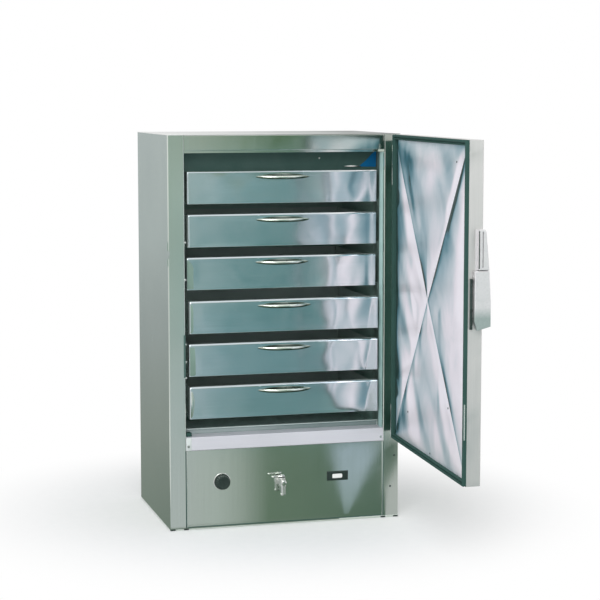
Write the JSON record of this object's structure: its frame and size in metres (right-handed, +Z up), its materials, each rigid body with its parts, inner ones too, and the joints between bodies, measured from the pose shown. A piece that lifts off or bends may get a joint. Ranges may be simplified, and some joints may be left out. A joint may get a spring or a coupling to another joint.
{
  "type": "refrigerated fish cabinet",
  "caption": "Upright stainless steel cold cabinet for fish, with an insulated side-hung door, pull-out drawers with bow handles, and a machine space with thermostat, drain tap and thermometer.",
  "frame": {"origin": "on the floor, under the middle of the carcass's base", "axes": "+X to the right seen from the front, the front faces -Y, +Z up"},
  "size_m": [0.7745, 1.3541, 1.25],
  "materials": {
    "carcass_steel": "satin",
    "sill_steel": "satin",
    "liner_steel": "satin",
    "drawer_steel": "satin",
    "polished_steel": "polished",
    "bright_metal": "polished",
    "latch_casting": "satin",
    "gasket_rubber": "matte",
    "foam": "matte",
    "black_plastic": "satin",
    "grey_plastic": "matte",
    "window_plastic": "gloss",
    "fin_aluminium": "satin",
    "copper": "satin",
    "black_paint": "satin"
  },
  "bodies": {
    "cabinet": {"base_pan": "carcass_steel", "left_side_panel": "carcass_steel", "right_side_panel": "carcass_steel", "back_panel": "carcass_steel", "top_panel": "carcass_steel", "left_stile": "carcass_steel", "right_stile": "carcass_steel", "top_rail": "carcass_steel", "front_sill": "sill_steel", "access_panel": "carcass_steel", "rear_grille": "carcass_steel", "cable_gland": "black_plastic", "frame_screws": "bright_metal", "wall_insulation": "foam", "inner_liner": "liner_steel", "floor_pan": "liner_steel", "drain_pipe": "grey_plastic", "drawer_runners": "liner_steel", "hinge_cabinet_leaves": "bright_metal", "latch_strike": "bright_metal", "thermostat": "bright_metal", "drain_tap": "bright_metal", "thermometer_case": "black_plastic", "thermometer_window": "window_plastic", "evaporator_coil": "fin_aluminium", "condenser": "fin_aluminium", "compressor": "black_paint", "refrigerant_pipes": "copper", "fan_motor": "black_paint", "control_box": "grey_plastic"},
    "door": {"door_skin": "carcass_steel", "door_insulation": "foam", "door_liner": "polished_steel", "door_gasket": "gasket_rubber", "hinge_door_leaves": "bright_metal", "latch_housing": "latch_casting"},
    "latch_paddle": {"latch_paddle": "latch_casting"},
    "thermostat_knob": {"thermostat_knob": "black_plastic"},
    "tap_lever": {"tap_lever": "bright_metal"},
    "condenser_fan": {"condenser_fan": "fin_aluminium"},
    "drawer_1": {"drawer_1_tray": "drawer_steel", "drawer_1_grid": "drawer_steel", "drawer_1_handle": "bright_metal"},
    "drawer_2": {"drawer_2_tray": "drawer_steel", "drawer_2_grid": "drawer_steel", "drawer_2_handle": "bright_metal"},
    "drawer_3": {"drawer_3_tray": "drawer_steel", "drawer_3_grid": "drawer_steel", "drawer_3_handle": "bright_metal"},
    "drawer_4": {"drawer_4_tray": "drawer_steel", "drawer_4_grid": "drawer_steel", "drawer_4_handle": "bright_metal"},
    "drawer_5": {"drawer_5_tray": "drawer_steel", "drawer_5_grid": "drawer_steel", "drawer_5_handle": "bright_metal"},
    "drawer_6": {"drawer_6_tray": "drawer_steel", "drawer_6_grid": "drawer_steel", "drawer_6_handle": "bright_metal"}
  },
  "joints": [
    {"name": "door_hinge", "type": "hinge", "parent": "cabinet", "child": "door", "pos_m": [0.386, -0.3043, 0.762], "axis": [0, 0, 1], "range_deg": [-87, 33]},
    {"name": "latch_swing", "type": "hinge", "parent": "door", "child": "latch_paddle", "pos_m": [0.35332, -1.08065, 0.872], "axis": [-0.0523, -0.9986, 0], "range_deg": [0, 25], "stiffness_Nm_per_rad": 1.5, "springref_deg": -17.19},
    {"name": "drawer_1_slide", "type": "slide", "parent": "cabinet", "child": "drawer_1", "axis": [0, -1, 0], "range_m": [-0.008, 0.322]},
    {"name": "drawer_2_slide", "type": "slide", "parent": "cabinet", "child": "drawer_2", "axis": [0, -1, 0], "range_m": [-0.008, 0.322]},
    {"name": "drawer_3_slide", "type": "slide", "parent": "cabinet", "child": "drawer_3", "axis": [0, -1, 0], "range_m": [0, 0.33]},
    {"name": "drawer_4_slide", "type": "slide", "parent": "cabinet", "child": "drawer_4", "axis": [0, -1, 0], "range_m": [-0.028, 0.302]},
    {"name": "drawer_5_slide", "type": "slide", "parent": "cabinet", "child": "drawer_5", "axis": [0, -1, 0], "range_m": [-0.026, 0.304]},
    {"name": "drawer_6_slide", "type": "slide", "parent": "cabinet", "child": "drawer_6", "axis": [0, -1, 0], "range_m": [-0.028, 0.302]},
    {"name": "knob_turn", "type": "hinge", "parent": "cabinet", "child": "thermostat_knob", "pos_m": [-0.211, -0.26, 0.15], "axis": [0, 1, 0], "range_deg": [0, 270]},
    {"name": "tap_turn", "type": "hinge", "parent": "cabinet", "child": "tap_lever", "pos_m": [-0.02, -0.272, 0.144], "axis": [0, 0, 1], "range_deg": [0, 90]},
    {"name": "fan_spin", "type": "hinge", "parent": "cabinet", "child": "condenser_fan", "pos_m": [0.19, 0.1755, 0.13], "axis": [0, 1, 0], "continuous": true}
  ]
}
